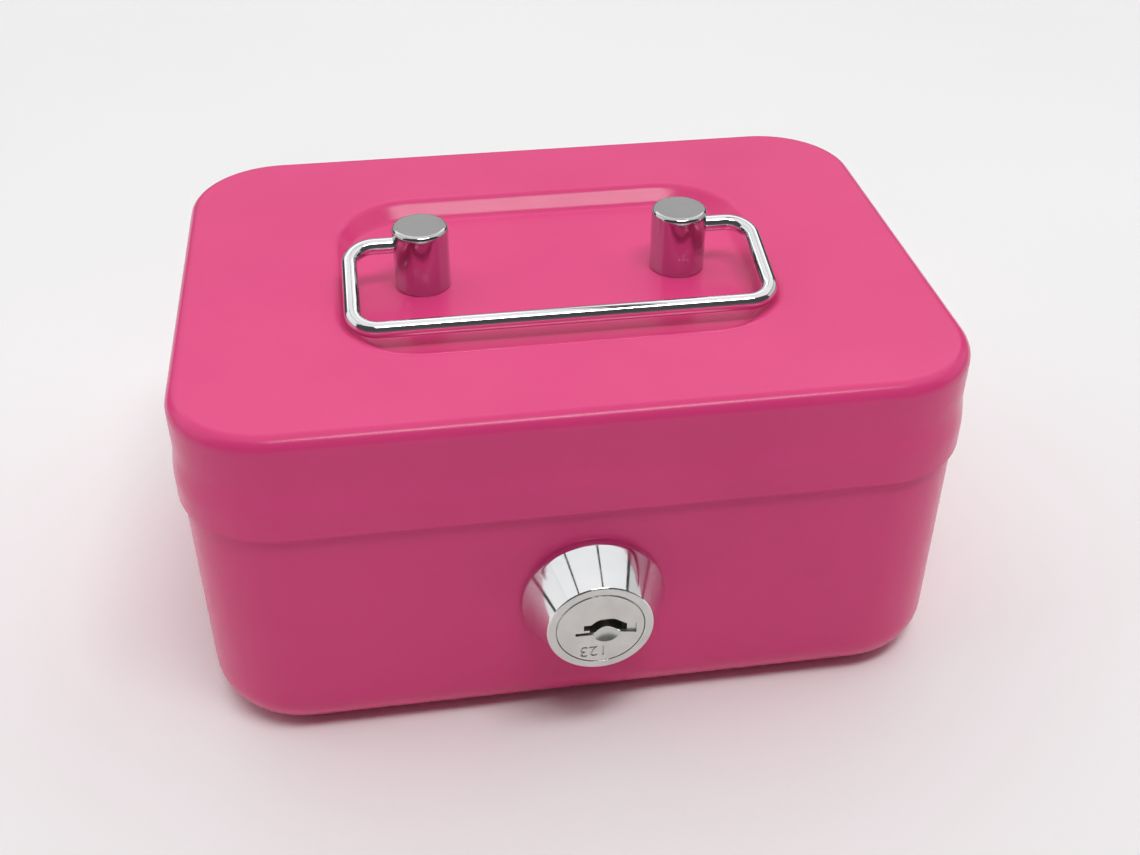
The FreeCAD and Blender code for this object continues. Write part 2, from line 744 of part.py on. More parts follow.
def coinTray():
    # seven wells behind the lock, hung on the curled rim at the back and the sides by a bevelled lip
    halfX = boxWidth / 2 - 2 * curlRadius - trayGap
    halfY = boxDepth / 2 - 2 * curlRadius - trayGap
    corner = boxCorner - 2 * curlRadius - trayGap
    top = rimTop + trayFlange
    low = rimTop - trayDepth

    def outline(grow, turn, front):
        return [(-halfX - grow, trayFront, front), (halfX + grow, trayFront, front),
                (halfX + grow, halfY + grow, turn), (-halfX - grow, halfY + grow, turn)]

    tray = flat(outline(0, corner, 3.0), low, top)
    bottom = [e for e in tray.Edges if e.BoundBox.ZMax < low + 0.01]
    tray = tray.makeFillet(2.4, bottom)
    # the bevel touches the curl at 45 degrees, so the lip's foot follows from the curl's circle
    lean = curlRadius / math.sqrt(2)
    overhang = curlRadius - lean + trayGap + trayLip
    foot = rimTop - curlRadius + lean - (overhang - trayLip) + traySeat
    lip = flat(outline(overhang, corner + overhang + trayCornerEase, 0), foot, top)
    edges = [e for e in lip.Edges if e.BoundBox.ZMax < foot + 0.01 and e.BoundBox.YMax > trayFront + 0.01]
    lip = lip.makeChamfer(overhang - 0.01, edges)
    tray = tray.fuse(lip).removeSplitter()
    floor = low + trayWall
    r = wellRadius
    deep = corner - trayWall
    innerX = halfX - trayWall
    innerY = halfY - trayWall
    pitch = (2 * innerX + trayWall) / backWells
    for i in range(backWells):
        left = -innerX + i * pitch
        right = left + pitch - trayWall
        leftBack = deep if i == 0 else r
        rightBack = deep if i == backWells - 1 else r
        tray = tray.cut(well([(left, backRowFront, r), (right, backRowFront, r),
                              (right, innerY, rightBack), (left, innerY, leftBack)], floor, top + 1))
    frontBack = backRowFront - trayWall
    frontLow = trayFront + trayWall
    side = frontWellHalf + trayWall / 2
    for left, right in ((-innerX, -side), (trayWall - side, side - trayWall), (side, innerX)):
        tray = tray.cut(well([(left, frontLow, r), (right, frontLow, r), (right, frontBack, r),
                              (left, frontBack, r)], floor, top + 1))
    return tray


pieces = {
    "box_body": boxBody(),
    "lid_shell": lidShell(),
    "lid_strike": lidStrike(),
    "hinge_body_leaf": hingeBodyLeaf(),
    "hinge_lid_leaf": hingeLidLeaf(),
    "hinge_pin": hingePin(),
    "body_leaf_rivets": bodyLeafRivets(),
    "lid_leaf_rivets": lidLeafRivets(),
    "handle_post_left": handlePost(-1),
    "handle_post_right": handlePost(1),
    "post_washers": postWashers(),
    "post_screws": postScrews(),
    "handle_bail": handleBail(),
    "lock_housing": lockHousing(),
    "lock_washer": lockWasher(),
    "lock_nut": lockNut(),
    "lock_plug": lockPlug(),
    "wafer_springs": waferSprings(),
    "stop_washer": stopWasher(),
    "lock_cam": lockCam(),
    "cam_washer": camWasher(),
    "cam_screw": camScrew(),
    "coin_tray": coinTray(),
}
for index in range(waferCount):
    pieces["lock_wafer_%d" % (index + 1)] = lockWafer(index)

os.makedirs("parts", exist_ok=True)
for name, shape in pieces.items():
    box = shape.BoundBox
    print(name, shape.isValid(), len(shape.Solids), round(shape.Volume, 2),
          [round(v, 2) for v in (box.XMin, box.XMax, box.YMin, box.YMax, box.ZMin, box.ZMax)])
    shape.exportStep("parts/%s.step" % name)
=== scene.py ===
import json
import math
import bpy
import bmesh
from mathutils import Vector, Matrix


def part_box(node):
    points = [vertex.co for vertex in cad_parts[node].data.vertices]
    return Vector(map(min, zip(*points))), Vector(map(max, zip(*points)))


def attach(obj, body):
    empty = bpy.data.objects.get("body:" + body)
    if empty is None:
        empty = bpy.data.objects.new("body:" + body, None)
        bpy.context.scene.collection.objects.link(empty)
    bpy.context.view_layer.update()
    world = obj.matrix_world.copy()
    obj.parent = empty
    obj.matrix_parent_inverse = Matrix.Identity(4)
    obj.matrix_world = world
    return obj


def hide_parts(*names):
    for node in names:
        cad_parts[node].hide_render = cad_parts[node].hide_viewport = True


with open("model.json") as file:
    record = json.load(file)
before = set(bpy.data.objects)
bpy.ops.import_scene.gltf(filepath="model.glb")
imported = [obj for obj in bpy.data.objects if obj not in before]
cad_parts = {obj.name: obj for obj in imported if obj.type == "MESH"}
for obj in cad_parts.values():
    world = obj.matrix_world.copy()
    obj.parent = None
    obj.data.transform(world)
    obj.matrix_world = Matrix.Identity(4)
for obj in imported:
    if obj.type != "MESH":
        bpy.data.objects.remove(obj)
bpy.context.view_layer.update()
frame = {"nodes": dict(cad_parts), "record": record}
nodes = frame["nodes"]
mm = 0.001
tiny = 1e-6  # a smaller turn or radius counts as none


def sizeOf(node):
    low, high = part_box(node)
    return low / mm, high / mm


# finishes: helpers first, then one function per finish
noiseLow = 0.3  # most of a noise's values lie between these two
noiseHigh = 0.7


def newFinish(name):
    mat = bpy.data.materials.new(name)
    mat.use_nodes = True
    tree = mat.node_tree
    where = tree.nodes.new("ShaderNodeTexCoord").outputs["Object"]
    return {"mat": mat, "tree": tree, "shader": tree.nodes["Principled BSDF"], "where": where}


def grain(finish, scale, detail, stretch):
    tree = finish["tree"]
    where = finish["where"]
    noise = tree.nodes.new("ShaderNodeTexNoise")
    noise.inputs["Scale"].default_value = scale
    noise.inputs["Detail"].default_value = detail
    if stretch:
        mapping = tree.nodes.new("ShaderNodeMapping")
        mapping.inputs["Scale"].default_value = stretch
        tree.links.new(where, mapping.inputs["Vector"])
        where = mapping.outputs["Vector"]
    tree.links.new(where, noise.inputs["Vector"])
    return noise.outputs["Fac"]


def mottle(finish, low, high, scale, detail, stretch=None):
    # base colour that wanders between two tones
    tree = finish["tree"]
    source = grain(finish, scale, detail, stretch)
    ramp = tree.nodes.new("ShaderNodeValToRGB")
    ramp.color_ramp.elements[0].position = noiseLow
    ramp.color_ramp.elements[0].color = (*low, 1)
    ramp.color_ramp.elements[1].position = noiseHigh
    ramp.color_ramp.elements[1].color = (*high, 1)
    tree.links.new(source, ramp.inputs["Fac"])
    tree.links.new(ramp.outputs["Color"], finish["shader"].inputs["Base Color"])


def dulling(finish, low, high, scale, detail, stretch=None):
    # roughness that wanders between two values
    tree = finish["tree"]
    source = grain(finish, scale, detail, stretch)
    ranged = tree.nodes.new("ShaderNodeMapRange")
    ranged.inputs["From Min"].default_value = noiseLow
    ranged.inputs["From Max"].default_value = noiseHigh
    ranged.inputs["To Min"].default_value = low
    ranged.inputs["To Max"].default_value = high
    tree.links.new(source, ranged.inputs["Value"])
    tree.links.new(ranged.outputs["Result"], finish["shader"].inputs["Roughness"])


def relief(finish, strength, height, scale, detail, stretch=None):
    tree = finish["tree"]
    source = grain(finish, scale, detail, stretch)
    bump = tree.nodes.new("ShaderNodeBump")
    bump.inputs["Strength"].default_value = strength
    bump.inputs["Distance"].default_value = height * mm
    tree.links.new(source, bump.inputs["Height"])
    tree.links.new(bump.outputs["Normal"], finish["shader"].inputs["Normal"])


def pinkPaint():
    finish = newFinish("pinkPaint")
    mottle(finish, (0.775, 0.052, 0.219), (0.815, 0.060, 0.235), scale=38, detail=4)
    dulling(finish, 0.215, 0.25, scale=260, detail=3)
    relief(finish, strength=0.06, height=0.02, scale=900, detail=1)  # faint orange peel of stoved paint
    finish["shader"].inputs["Specular IOR Level"].default_value = 0.30
    return finish["mat"]


def polishedChrome(name, low, high):
    finish = newFinish(name)
    mottle(finish, low, high, scale=120, detail=3)
    dulling(finish, 0.045, 0.11, scale=420, detail=4, stretch=(1, 1, 5))
    relief(finish, strength=0.03, height=0.01, scale=2600, detail=3, stretch=(1, 1, 6))
    finish["shader"].inputs["Metallic"].default_value = 1.0
    return finish["mat"]


def satinNickel():
    finish = newFinish("satinNickel")
    mottle(finish, (0.60, 0.61, 0.585), (0.68, 0.69, 0.665), scale=300, detail=4)
    dulling(finish, 0.285, 0.40, scale=700, detail=4, stretch=(5, 1, 1))
    relief(finish, strength=0.10, height=0.02, scale=3200, detail=3, stretch=(6, 1, 1))  # brushed lines
    finish["shader"].inputs["Metallic"].default_value = 1.0
    return finish["mat"]


def zincPlate():
    finish = newFinish("zincPlate")
    mottle(finish, (0.40, 0.42, 0.45), (0.62, 0.62, 0.60), scale=180, detail=5)
    dulling(finish, 0.28, 0.46, scale=420, detail=4)
    relief(finish, strength=0.12, height=0.02, scale=1800, detail=3)
    finish["shader"].inputs["Metallic"].default_value = 1.0
    return finish["mat"]


def brassPlate():
    finish = newFinish("brassPlate")
    mottle(finish, (0.52, 0.34, 0.10), (0.72, 0.52, 0.20), scale=420, detail=4)
    dulling(finish, 0.285, 0.42, scale=900, detail=3, stretch=(1, 6, 1))
    finish["shader"].inputs["Metallic"].default_value = 1.0
    return finish["mat"]


def springSteel():
    finish = newFinish("springSteel")
    mottle(finish, (0.30, 0.30, 0.32), (0.50, 0.50, 0.52), scale=900, detail=3)
    dulling(finish, 0.285, 0.38, scale=1600, detail=3)
    finish["shader"].inputs["Metallic"].default_value = 1.0
    return finish["mat"]


def blackPlastic():
    finish = newFinish("blackPlastic")
    mottle(finish, (0.016, 0.016, 0.018), (0.030, 0.030, 0.033), scale=90, detail=4)
    dulling(finish, 0.44, 0.60, scale=500, detail=3)
    relief(finish, strength=0.22, height=0.04, scale=2200, detail=2)  # moulded texture
    return finish["mat"]


def paleFloor():
    finish = newFinish("paleFloor")
    mottle(finish, (0.93, 0.93, 0.93), (0.95, 0.95, 0.95), scale=6, detail=2)
    dulling(finish, 0.75, 0.85, scale=40, detail=2)
    return finish["mat"]


finishes = {
    "paint": pinkPaint(),
    "chrome": polishedChrome("polishedChrome", (0.74, 0.75, 0.77), (0.83, 0.83, 0.84)),
    "post": polishedChrome("shadedPostChrome", (0.51, 0.51, 0.52), (0.56, 0.56, 0.56)),  # painted shade: a darker copy of the wire's chrome, standing in for the darker reflections on the posts
    "lock_face": satinNickel(),
    "zinc": zincPlate(),
    "brass": brassPlate(),
    "spring": springSteel(),
    "tray": blackPlastic(),
}
print("finishes made:", len(finishes))


# mesh helpers
def meshOf(name, verts, faces):
    mesh = bpy.data.meshes.new(name)
    mesh.from_pydata([Vector(v) * mm for v in verts], [], faces)
    mesh.update()
    return mesh


def loose(name, data):
    obj = bpy.data.objects.new(name, data)
    bpy.context.scene.collection.objects.link(obj)
    return obj


def evaluated(obj):
    # plain mesh of an object with its modifiers applied
    graph = bpy.context.evaluated_depsgraph_get()
    return bpy.data.meshes.new_from_object(obj.evaluated_get(graph))


def dress(name, mesh, body, slot, stands, sharp=32):
    mesh.shade_smooth()
    mesh.set_sharp_from_angle(angle=math.radians(sharp))
    mesh.materials.clear()
    mesh.materials.append(finishes[slot])
    obj = loose(name, mesh)
    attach(obj, body)
    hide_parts(*stands)
    return obj


def arc(middle, radius, start, end, count):
    line = []
    for k in range(count + 1):
        angle = math.radians(start + (end - start) * k / count)
        line.append(Vector((middle[0] + radius * math.cos(angle), middle[1] + radius * math.sin(angle))))
    return line


def section(corners, turn=7.0, beside=0.4, fewest=3):
    # lines and arcs through (u, v, radius), with one point beside each arc to keep flats flat
    line = [Vector(corners[0][:2])]
    for i in range(1, len(corners) - 1):
        here = Vector(corners[i][:2])
        before = (here - Vector(corners[i - 1][:2])).normalized()
        after = (Vector(corners[i + 1][:2]) - here).normalized()
        bend = math.atan2(before.x * after.y - before.y * after.x, before.dot(after))
        radius = corners[i][2]
        if radius <= 0 or abs(bend) < tiny:
            line.append(here)
            continue
        reach = radius * math.tan(abs(bend) / 2)
        first = here - before * reach
        side = Vector((-before.y, before.x)) * (1 if bend > 0 else -1)
        middle = first + side * radius
        count = max(fewest, math.ceil(math.degrees(abs(bend)) / turn))
        if (first - line[-1]).length > 2 * beside:
            line.append(first - before * beside)
        for k in range(count + 1):
            angle = bend * k / count
            arm = first - middle
            line.append(middle + Vector((arm.x * math.cos(angle) - arm.y * math.sin(angle),
                                         arm.x * math.sin(angle) + arm.y * math.cos(angle))))
        ahead = Vector(corners[i + 1][:2]) - line[-1]
        if ahead.length > 2 * beside:
            line.append(line[-1] + after * beside)
    line.append(Vector(corners[-1][:2]))
    return line


def inside(line, depth, leastShare=0.3):
    # the same section moved to its left by depth; leastShare keeps sharp corners from running away
    moved = []
    for i, here in enumerate(line):
        before = (here - line[i - 1]).normalized() if i else (line[1] - here).normalized()
        after = (line[i + 1] - here).normalized() if i < len(line) - 1 else before
        lean = Vector((-before.y - after.y, before.x + after.x)).normalized()
        share = max(leastShare, lean.dot(Vector((-before.y, before.x))))
        moved.append(here + lean * depth / share)
    return moved


def roundedRing(halfX, halfY, radius, z, turn=16, along=8):
    # rounded rectangle: four quarter turns with points along the straight sides between them
    ring = []
    signs = ((1, 1), (-1, 1), (-1, -1), (1, -1))
    for quarter, (sx, sy) in enumerate(signs):
        for k in range(turn + 1):
            angle = math.pi / 2 * (quarter + k / turn)
            ring.append((sx * (halfX - radius) + radius * math.cos(angle),
                         sy * (halfY - radius) + radius * math.sin(angle), z))
        nx, ny = signs[(quarter + 1) % len(signs)]
        angle = math.pi / 2 * (quarter + 1)
        last = Vector(ring[-1])
        following = Vector((nx * (halfX - radius) + radius * math.cos(angle),
                            ny * (halfY - radius) + radius * math.sin(angle), z))
        for k in range(1, along + 1):
            ring.append(tuple(last.lerp(following, k / (along + 1))))
    return ring


def skin(rings):
    # closed shell over rings of equal length, capped at both ends
    verts = [v for ring in rings for v in ring]
    n = len(rings[0])
    faces = [tuple(reversed(range(n)))]
    for i in range(len(rings) - 1):
        for k in range(n):
            j = (k + 1) % n
            faces.append((i * n + k, i * n + j, (i + 1) * n + j, (i + 1) * n + k))
    faces.append(tuple(range((len(rings) - 1) * n, len(rings) * n)))
    return verts, faces


def turned(profile, place, segments=128, closed=False):
    # lathe of (radius, height); place maps (x, y, height) to the box, a radius of 0 is a pole
    verts = []
    rows = []
    for radius, height in profile:
        if radius < tiny:
            rows.append([len(verts)])
            verts.append(place(0, 0, height))
            continue
        rows.append(list(range(len(verts), len(verts) + segments)))
        for k in range(segments):
            angle = 2 * math.pi * k / segments
            verts.append(place(radius * math.cos(angle), radius * math.sin(angle), height))
    faces = []
    pairs = list(zip(rows, rows[1:]))
    if closed:
        pairs.append((rows[-1], rows[0]))
    for a, b in pairs:
        for k in range(segments):
            j = (k + 1) % segments
            if len(a) == 1:
                faces.append((a[0], b[j], b[k]))
            elif len(b) == 1:
                faces.append((a[k], a[j], b[0]))
            else:
                faces.append((a[k], a[j], b[j], b[k]))
    return verts, faces


def outwards(mesh, weld=1e-7):
    # merges doubles and turns every face outwards
    work = bmesh.new()
    work.from_mesh(mesh)
    bmesh.ops.remove_doubles(work, verts=work.verts, dist=weld)
    bmesh.ops.recalc_face_normals(work, faces=work.faces)
    work.to_mesh(mesh)
    work.free()
    return mesh


def solidCut(obj, tool, how="DIFFERENCE"):
    step = obj.modifiers.new("cut", "BOOLEAN")
    step.operation = how
    step.solver = "EXACT"
    step.object = tool
    result = evaluated(obj)
    obj.modifiers.remove(step)
    obj.data = result
    bpy.data.objects.remove(tool)


def freed(work):
    # the mesh of a work object, which is then deleted
    mesh = work.data.copy()
    bpy.data.objects.remove(work)
    return mesh


# box body and lid, both measured out from the body's wall
boxSizes = {"corner": 15.8, "bottomRadius": 7.5, "sheet": 0.5, "curl": 1.5, "floorLap": 1.0,
            "bottomClear": 0.5, "rimClear": 0.4, "bottomSteps": 14, "curlSteps": 26, "curlInsideSteps": 22}
lidSizes = {"standOff": 0.26, "edgeRadius": 2.4, "bandHeight": 4.6, "bandBlend": 4.0, "bandRadius": 15.0,
            "rimOut": 0.8, "hem": 0.14, "topLap": 1.0}
dishSizes = {"halfX": 36.2, "halfY": 25.7, "corner": 14.0, "depth": 2.7, "slope": 3.0, "radius": 2.2,
             "lip": 1.6}
bodyTop = sizeOf("box_body")[1].z
lidLow, lidHigh = sizeOf("lid_shell")
boxHalf = (lidHigh.x - lidSizes["rimOut"], lidHigh.y - lidSizes["rimOut"])


def wallRing(p):
    # ring round the box at height p.y, p.x out from its wall
    return roundedRing(boxHalf[0] + p.x, boxHalf[1] + p.x, boxSizes["corner"] + p.x, p.y)


def makeBody(s):
    low = s["bottomRadius"]
    crown = bodyTop - s["curl"]
    wallStart = low + s["bottomClear"]
    wallEnd = crown - s["rimClear"]
    bend = (-low, low)
    rim = (-s["curl"], crown)
    line = [Vector((-low - s["floorLap"], 0))]
    line += arc(bend, low, -90, 0, s["bottomSteps"])
    line += [Vector((0, wallStart)), Vector((0, wallEnd))]
    line += arc(rim, s["curl"], 0, 270, s["curlSteps"])
    line += arc(rim, s["curl"] - s["sheet"], 270, 0, s["curlInsideSteps"])
    line += [Vector((-s["sheet"], wallEnd)), Vector((-s["sheet"], wallStart))]
    line += arc(bend, low - s["sheet"], 0, -90, s["bottomSteps"])
    line += [Vector((-low - s["floorLap"], s["sheet"]))]
    return meshOf("bodyTub", *skin([wallRing(p) for p in line]))


def dishRing(p):
    # ring round the dish at height p.y, p.x out from its edge
    d = dishSizes
    return roundedRing(d["halfX"] + p.x, d["halfY"] + p.x, d["corner"] + p.x, p.y)


def makeLid(s, d, sheet):
    rim = lidLow.z
    top = lidHigh.z
    hem = s["hem"]
    wallLine = section([(s["rimOut"], rim + hem, 0),
                        (s["rimOut"], rim + s["bandHeight"], s["bandRadius"]),
                        (s["standOff"], rim + s["bandHeight"] + s["bandBlend"], s["bandRadius"]),
                        (s["standOff"], top, s["edgeRadius"]),
                        (s["standOff"] - s["edgeRadius"] - s["topLap"], top, 0)])
    dishLine = section([(d["lip"], top, 0),
                        (0, top, d["radius"]),
                        (-d["slope"], top - d["depth"], d["radius"]),
                        (-d["slope"] - d["lip"], top - d["depth"], 0)])
    under = [wallRing(p) for p in inside(wallLine, sheet)] + [dishRing(p) for p in inside(dishLine, sheet)]
    hemLine = [Vector((s["rimOut"] - sheet + hem, rim)), Vector((s["rimOut"] - hem, rim))]
    over = [wallRing(p) for p in wallLine] + [dishRing(p) for p in dishLine]
    return meshOf("lidPressing", *skin(list(reversed(under)) + [wallRing(p) for p in hemLine] + over))


dress("bodyTub", makeBody(boxSizes), "box", "paint", ["box_body"])
dress("lidPressing", makeLid(lidSizes, dishSizes, boxSizes["sheet"]), "lid", "paint", ["lid_shell"])
print("body and lid made")


# handle posts
postSizes = {"edge": 0.7, "foot": 0.25, "flat": 0.5, "footClear": 1.0, "edgeClear": 0.4, "footSteps": 4,
             "edgeSteps": 10}


def makePost(side, s):
    low, high = sizeOf("handle_post_" + side)
    radius = (high.x - low.x) / 2
    middle = (low.x + high.x) / 2
    foot = radius - s["foot"]
    edge = radius - s["edge"]
    profile = [(0, low.z), (radius - s["flat"], low.z), (foot, low.z)]
    profile += [tuple(p) for p in arc((foot, low.z + s["foot"]), s["foot"], -90, 0, s["footSteps"])][1:]
    profile += [(radius, low.z + s["footClear"]), (radius, high.z - s["edge"] - s["edgeClear"])]
    profile += [tuple(p) for p in arc((edge, high.z - s["edge"]), s["edge"], 0, 90, s["edgeSteps"])]
    profile += [(edge - s["flat"], high.z), (0, high.z)]
    return meshOf("post_" + side, *turned(profile, lambda x, y, h: (middle + x, y, h)))


for side in ("left", "right"):
    post = dress("post_" + side, makePost(side, postSizes), "lid", "chrome", ["handle_post_" + side])
    # the posts get the darker chrome copy, painted shade for their darker reflections
    post.data.materials[0] = finishes["post"]


# helpers for pieces that grow from a node tree
def nodeTree(name, inputs):
    tree = bpy.data.node_groups.new(name, "GeometryNodeTree")
    tree.interface.new_socket("Geometry", in_out="INPUT", socket_type="NodeSocketGeometry")
    ids = {}
    for label, kind in inputs.items():
        ids[label] = tree.interface.new_socket(label, in_out="INPUT", socket_type=kind).identifier
    tree.interface.new_socket("Geometry", in_out="OUTPUT", socket_type="NodeSocketGeometry")
    return tree, tree.nodes.new("NodeGroupInput"), tree.nodes.new("NodeGroupOutput"), ids


def endTree(tree, source, leave, finish):
    real = tree.nodes.new("GeometryNodeRealizeInstances")
    paint = tree.nodes.new("GeometryNodeSetMaterial")
    paint.inputs["Material"].default_value = finish
    tree.links.new(source, real.inputs["Geometry"])
    tree.links.new(real.outputs["Geometry"], paint.inputs["Geometry"])
    tree.links.new(paint.outputs["Geometry"], leave.inputs["Geometry"])


def grown(mesh, tree, ids, values):
    # runs a tree on a mesh and returns the result as a plain mesh
    holder = loose("holder", mesh)
    modifier = holder.modifiers.new("grow", "NODES")
    modifier.node_group = tree
    for label, value in values.items():
        modifier[ids[label]] = value
    result = evaluated(holder)
    holder.modifiers.remove(modifier)
    bpy.data.objects.remove(holder)
    return result


# wire handle
handleSizes = {"bend": 4.2, "pivotDepth": 5.0, "bendSteps": 14, "around": 40}


def handlePath(s, wire, pivot):
    # middle line of the wire, from one post round the front bar to the other
    low, high = sizeOf("handle_bail")
    half = high.x - wire
    end = sizeOf("handle_post_right")[1].x - s["pivotDepth"]
    barY = low.y + wire
    barZ = low.z + wire
    corners = [(-end, 0, pivot), (-half, 0, pivot), (-half, barY, barZ),
               (half, barY, barZ), (half, 0, pivot), (end, 0, pivot)]
    path = bpy.data.meshes.new("handlePath")
    path.from_pydata([Vector(c) * mm for c in corners], [(i, i + 1) for i in range(len(corners) - 1)], [])
    return path


def makeHandle(s):
    swing = next(j for j in frame["record"]["behaviour"]["joints"] if j["name"] == "handle_swing")
    pivot = swing["pos_m"][2] / mm
    wire = sizeOf("handle_bail")[1].z - pivot
    inputs = {"Bend Radius": "NodeSocketFloat", "Wire Radius": "NodeSocketFloat",
              "Bend Steps": "NodeSocketInt", "Around": "NodeSocketInt"}
    tree, enter, leave, ids = nodeTree("bentWire", inputs)
    curve = tree.nodes.new("GeometryNodeMeshToCurve")
    bend = tree.nodes.new("GeometryNodeFilletCurve")
    ring = tree.nodes.new("GeometryNodeCurvePrimitiveCircle")
    tube = tree.nodes.new("GeometryNodeCurveToMesh")
    bend.mode = "POLY"
    bend.inputs["Limit Radius"].default_value = True
    tube.inputs["Fill Caps"].default_value = True
    tree.links.new(enter.outputs["Geometry"], curve.inputs["Mesh"])
    tree.links.new(curve.outputs["Curve"], bend.inputs["Curve"])
    tree.links.new(enter.outputs["Bend Radius"], bend.inputs["Radius"])
    tree.links.new(enter.outputs["Bend Steps"], bend.inputs["Count"])
    tree.links.new(enter.outputs["Wire Radius"], ring.inputs["Radius"])
    tree.links.new(enter.outputs["Around"], ring.inputs["Resolution"])
    tree.links.new(bend.outputs["Curve"], tube.inputs["Curve"])
    tree.links.new(ring.outputs["Curve"], tube.inputs["Profile Curve"])
    endTree(tree, tube.outputs["Mesh"], leave, finishes["chrome"])
    values = {"Bend Radius": s["bend"] * mm, "Wire Radius": wire * mm,
              "Bend Steps": s["bendSteps"], "Around": s["around"]}
    return grown(handlePath(s, wire, pivot), tree, ids, values)


dress("wireHandle", makeHandle(handleSizes), "handle", "chrome", ["handle_bail"])
print("posts and handle made")


# lock housing: cone in front of the wall, threaded barrel behind it
lockSizes = {"proud": 7.9, "face": 8.25, "base": 11.4, "band": 1.3, "edge": 0.35, "baseEase": 0.3,
             "bandEase": 0.5, "boreEase": 0.12, "headSeat": 2.6, "headBore": 6.96, "bore": 6.26,
             "barrel": 8.2, "flat": 7.5, "flatStart": 0.1, "barrelDepth": 11.5, "around": 128,
             "pitch": 1.0, "threadDepth": 0.45, "threadSteps": 8, "threadLead": 0.5, "threadRunOut": 0.1,
             "collar": 7.2, "collarSteps": 64, "stopGap": (23, 157), "stopGapSteps": 8,
             "grooveHalf": 2.8, "grooveReach": 7.1, "grooveEnd": 10.0, "grooveLead": 0.02, "cutPast": 1.0,
             "faceBand": 0.05, "wallBand": 0.2, "sharp": 28}
lockLow, lockHigh = sizeOf("lock_housing")
lockZ = (lockLow.z + lockHigh.z) / 2
wallY = -boxHalf[1]
lockDeep = lockHigh.y - wallY
faceY = wallY - lockSizes["proud"]


def onLock(x, y, h):
    # lathe axis turned to point out of the front wall
    return (x, wallY - h, lockZ + y)


def housingProfile(s):
    # cone and bore, and then the barrel's thread rows, whose first row is returned too
    seat = s["proud"] - s["headSeat"]
    line = section([(s["barrel"], 0, 0),
                    (s["base"], 0, s["baseEase"]),
                    (s["base"], s["band"], s["bandEase"]),
                    (s["face"], s["proud"], s["edge"]),
                    (s["headBore"], s["proud"], s["boreEase"]),
                    (s["headBore"], seat, 0),
                    (s["bore"], seat, 0)], turn=8, beside=0.3)
    profile = [tuple(p) for p in line]
    profile += [(s["bore"], -lockDeep), (s["barrel"] - s["threadLead"], -lockDeep)]
    threadRow = len(profile)
    rows = int((lockDeep - s["threadLead"] - s["threadRunOut"]) / s["pitch"] * s["threadSteps"])
    for k in range(rows):
        profile.append((s["barrel"], -lockDeep + s["threadLead"] + k * s["pitch"] / s["threadSteps"]))
    return profile, threadRow


def makeHousing(s):
    profile, threadRow = housingProfile(s)
    verts, faces = turned(profile, lambda x, y, h: (x, y, h), s["around"], True)
    shaped = []
    for i, (x, y, h) in enumerate(verts):
        if i // s["around"] >= threadRow:
            turn = (h / s["pitch"] - math.atan2(y, x) / (2 * math.pi)) % 1.0
            radius = s["barrel"] - s["threadDepth"] * abs(2 * turn - 1)
            grow = radius / math.hypot(x, y)
            x *= grow
            y *= grow
        if h < -s["flatStart"]:
            y = max(-s["flat"], min(s["flat"], y))
        shaped.append(onLock(x, y, h))
    return outwards(meshOf("housingWork", shaped, faces))


def lockPrism(name, outline, start, end):
    # straight prism along the lock's line, from height start to height end
    n = len(outline)
    verts = [onLock(x, y, h) for h in (start, end) for x, y in outline]
    faces = [tuple(range(n)), tuple(range(2 * n - 1, n - 1, -1))]
    faces += [(k, (k + 1) % n, n + (k + 1) % n, n + k) for k in range(n)]
    return loose(name, outwards(meshOf(name, verts, faces)))


def cutHousing(s):
    # cross grooves that the wafers spring into, and the open part of the stop collar
    work = loose("housingWork", makeHousing(s))
    seat = s["proud"] - s["headSeat"] + s["grooveLead"]
    for a, b in ((s["grooveReach"], s["grooveHalf"]), (s["grooveHalf"], s["grooveReach"])):
        outline = [(-a, -b), (a, -b), (a, b), (-a, b)]
        solidCut(work, lockPrism("groove", outline, seat, -s["grooveEnd"]))
    past = lockDeep + s["cutPast"]
    collar = [tuple(p) for p in arc((0, 0), s["collar"], 0, 360, s["collarSteps"])][:-1]
    solidCut(work, lockPrism("collarBore", collar, -s["barrelDepth"], -past))
    gap = [(0, 0)] + [tuple(p) for p in arc((0, 0), 2 * s["barrel"], *s["stopGap"], s["stopGapSteps"])]
    solidCut(work, lockPrism("stopGap", gap, -s["barrelDepth"], -past))
    return freed(work)


housing = dress("lockCone", cutHousing(lockSizes), "box", "chrome", ["lock_housing"], lockSizes["sharp"])
housing.data.materials.append(finishes["lock_face"])
for face in housing.data.polygons:  # the front ring and all behind the wall are satin, the rest is polished
    y = face.center.y / mm
    front = (wallY - y) > lockSizes["proud"] - lockSizes["faceBand"]
    face.material_index = 1 if front or (y > wallY + lockSizes["wallBand"]) else 0


# lock plug
plugSizes = {"head": 6.9, "headClear": 0.02, "chamfer": 0.16, "around": 160, "cutPast": 2.0,
             "keywayShift": 0.9, "rimDepth": 0.42, "rimEase": 0.03, "rimStart": 1.0,
             "digits": "123", "digitHeight": 2.2, "digitScale": 1.38, "digitPlace": (-1.1, -4.5),
             "digitDepth": 0.22, "digitReach": 0.5, "level": 0.999, "floorBand": 0.02, "sharp": 25}


def keywayLine(s):
    # key way outline about the plug's middle: narrow slot, arch over the thumb dish, wide right end
    corners = [(-4.8, -1.1, 0), (-1.9, -1.1, 0.3), (0, -0.2, 2.4), (2.4, -1.0, 0.6),
               (4.7, -1.4, 0), (4.7, 0.55, 0), (3.2, 0.55, 0.6), (1.2, 1.9, 1.6),
               (-1.2, 1.9, 1.6), (-2.4, 0.9, 0.3), (-3.5, 0.9, 0), (-3.5, -0.1, 0),
               (-2.6, -0.1, 0), (-2.6, -0.6, 0), (-4.8, -0.6, 0), (-4.8, -1.1, 0)]
    rim = inside(section(corners, turn=6, beside=0.3), -s["rimEase"])
    return [(p.x + s["keywayShift"], p.y) for p in rim]


